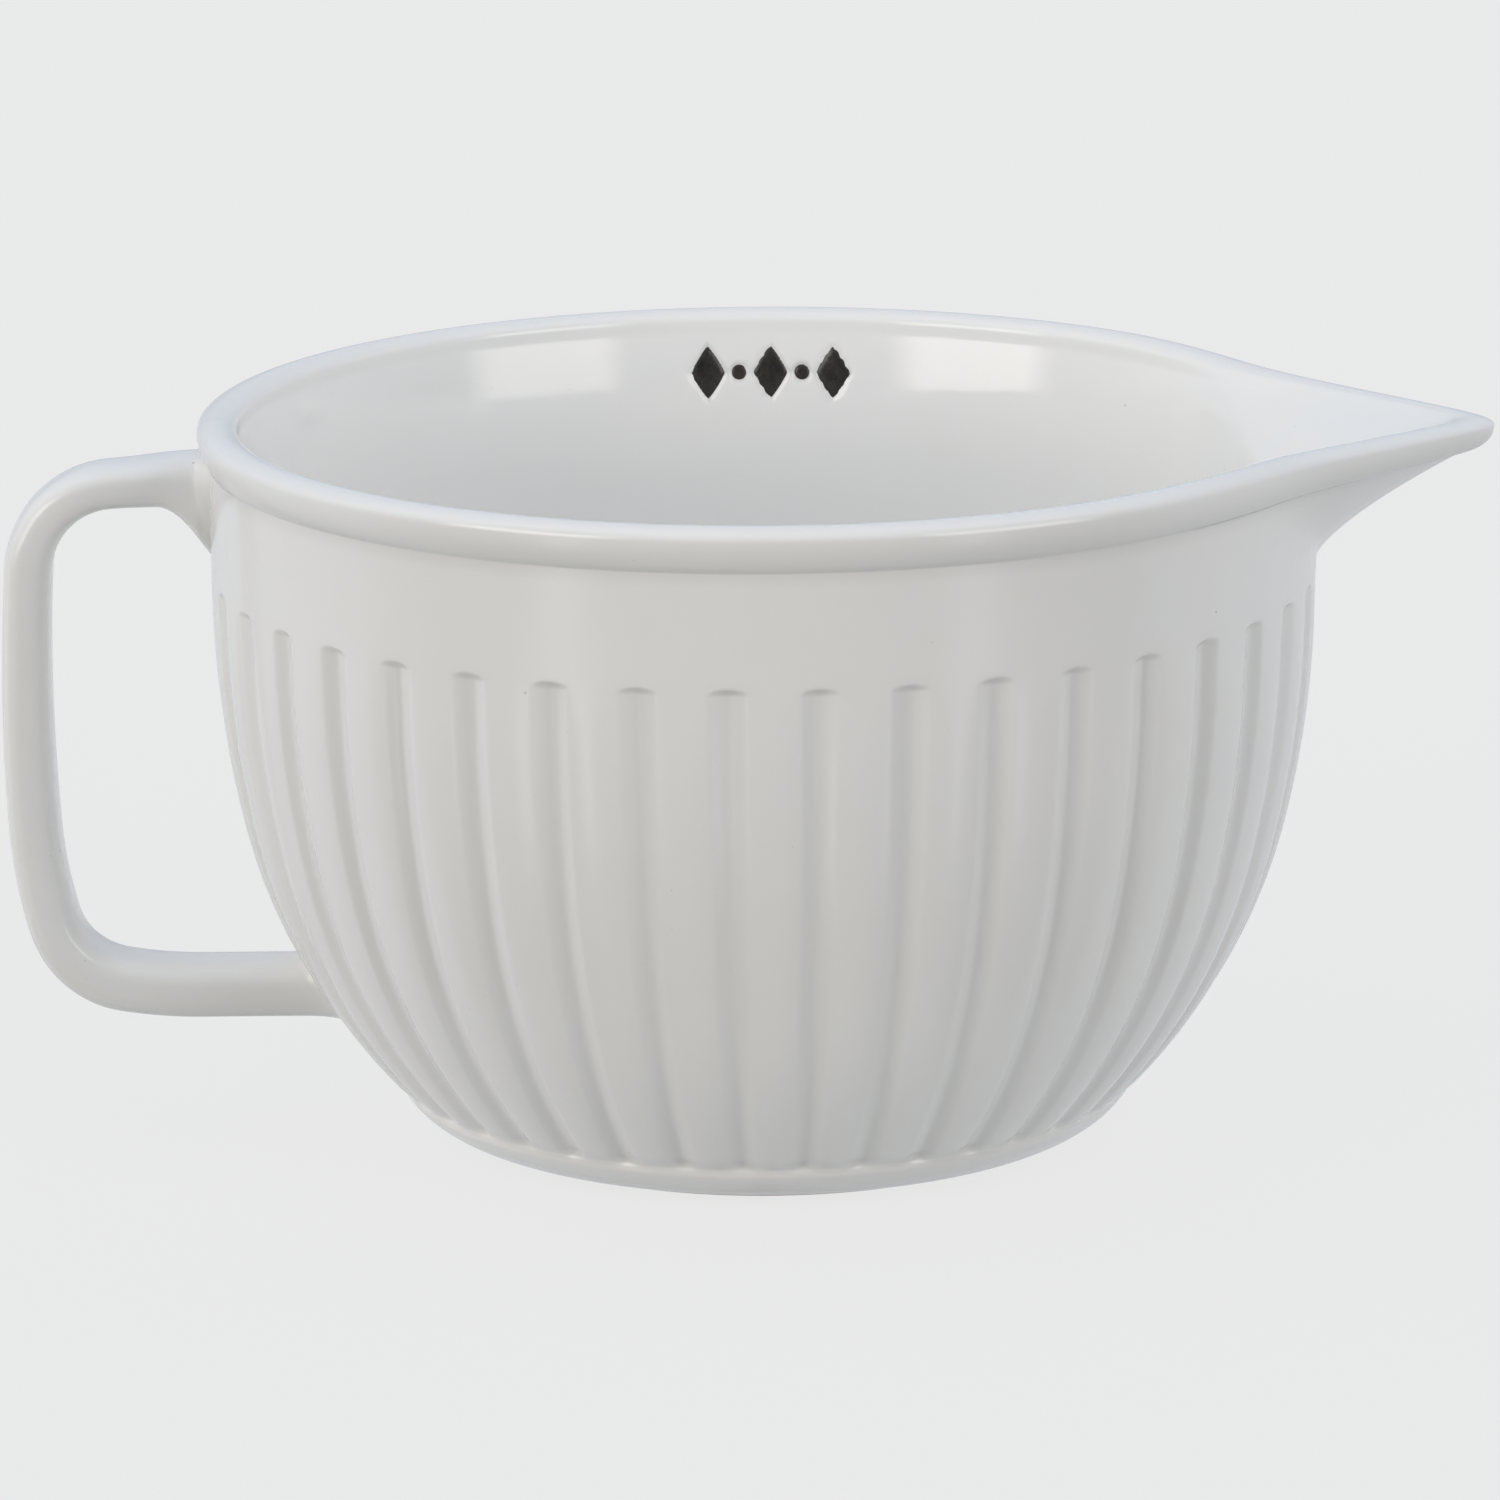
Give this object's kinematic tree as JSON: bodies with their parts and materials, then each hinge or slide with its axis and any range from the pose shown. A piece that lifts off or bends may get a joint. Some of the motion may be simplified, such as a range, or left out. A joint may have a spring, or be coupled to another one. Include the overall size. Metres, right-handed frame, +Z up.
{
  "type": "mixing bowl",
  "caption": "Fluted stoneware batter bowl with a rolled rim, a pointed pouring spout and a strap handle, for mixing and pouring batter.",
  "frame": {"origin": "on the axis of the round bowl, at the plane of the foot's resting face", "axes": "+Z up along the bowl's axis, +X towards the spout's tip, -X towards the handle, +Y towards the stamped marks on the inside of the wall"},
  "size_m": [0.2841, 0.2138, 0.1377],
  "materials": {
    "white_glaze": "gloss",
    "bare_stoneware": "matte",
    "dark_stain": "gloss"
  },
  "bodies": {
    "root": {"bowl_body": "white_glaze", "rim_roll": "white_glaze", "spout": "white_glaze", "spout_lip": "white_glaze", "foot_collar": "white_glaze", "foot_edge": "bare_stoneware", "handle_strap": "white_glaze", "handle_flare": "white_glaze", "upper_joint": "white_glaze", "lower_joint": "white_glaze", "stamped_mark_1": "dark_stain", "stamped_mark_2": "dark_stain", "stamped_mark_3": "dark_stain", "stamped_mark_4": "dark_stain", "stamped_mark_5": "dark_stain"}
  },
  "joints": []
}
